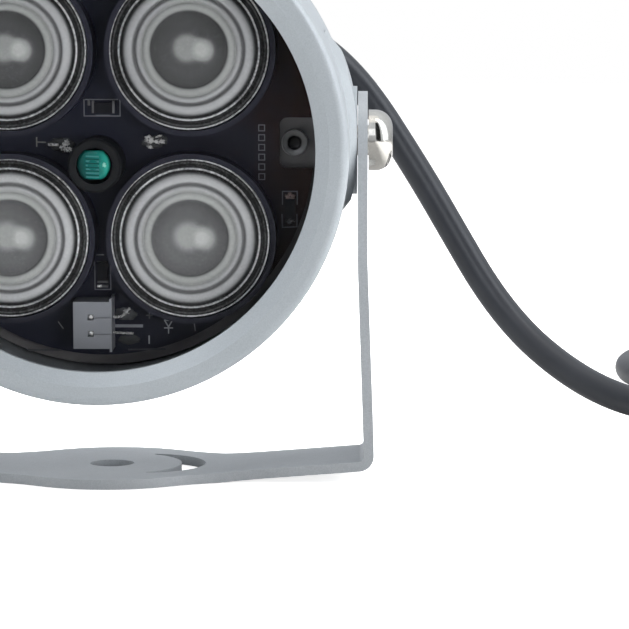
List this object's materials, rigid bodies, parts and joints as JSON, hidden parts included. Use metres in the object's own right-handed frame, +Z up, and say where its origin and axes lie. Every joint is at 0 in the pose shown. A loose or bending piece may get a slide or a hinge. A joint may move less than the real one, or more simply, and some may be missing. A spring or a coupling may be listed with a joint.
{
  "type": "infrared illuminator",
  "caption": "Round infrared illuminator for a camera: finned metal head with clear lenses behind a window, tilting in a U-shaped bracket, with a power cable.",
  "frame": {"origin": "centre of the fixing hole on the underside of the foot", "axes": "+Z up, the lamp faces -Y, +X to the right of someone facing its window"},
  "size_m": [0.2092, 0.177, 0.0917],
  "materials": {
    "painted_steel": "satin",
    "painted_casting": "satin",
    "nickel": "polished",
    "clear_window": "polished",
    "black_rubber": "matte",
    "bare_aluminium": "satin",
    "black_board": "semi-gloss",
    "screw_steel": "satin",
    "clear_lens": "polished",
    "black_plastic": "matte",
    "emitter_resin": "glossy",
    "sensor_green": "glossy",
    "grey_nylon": "matte",
    "tinned_pin": "satin",
    "resistor_ceramic": "satin",
    "ferrite": "matte",
    "capacitor_can": "glossy",
    "wire_jacket": "satin",
    "cable_jacket": "satin"
  },
  "bodies": {
    "bracket": {"mounting_bracket": "painted_steel", "cable_lead": "cable_jacket", "cable_coil": "cable_jacket", "dc_connector": "black_plastic", "cable_tie": "black_plastic"},
    "head": {"pivot_screws": "nickel", "housing": "painted_casting", "front_ring": "painted_casting", "front_window": "clear_window", "window_gasket": "black_rubber", "ring_seal": "black_rubber", "heat_plate": "bare_aluminium", "circuit_board": "black_board", "board_screws": "screw_steel", "lens_upper_left": "clear_lens", "holder_upper_left": "black_plastic", "emitter_upper_left": "emitter_resin", "lens_upper_right": "clear_lens", "holder_upper_right": "black_plastic", "emitter_upper_right": "emitter_resin", "lens_lower_left": "clear_lens", "holder_lower_left": "black_plastic", "emitter_lower_left": "emitter_resin", "lens_lower_right": "clear_lens", "holder_lower_right": "black_plastic", "emitter_lower_right": "emitter_resin", "photocell": "sensor_green", "photocell_sleeve": "black_rubber", "power_socket": "grey_nylon", "socket_pins": "tinned_pin", "chip_resistors": "resistor_ceramic", "choke_coil": "ferrite", "smoothing_capacitor": "capacitor_can", "cable_boot": "black_rubber", "entry_nut": "black_plastic", "supply_wires": "wire_jacket"}
  },
  "joints": [
    {"name": "head_tilt", "type": "hinge", "parent": "bracket", "child": "head", "pos_m": [0, 0, 0.0531], "axis": [1, 0, 0], "range_deg": [-45, 45], "deforming": ["cable_lead"]}
  ]
}
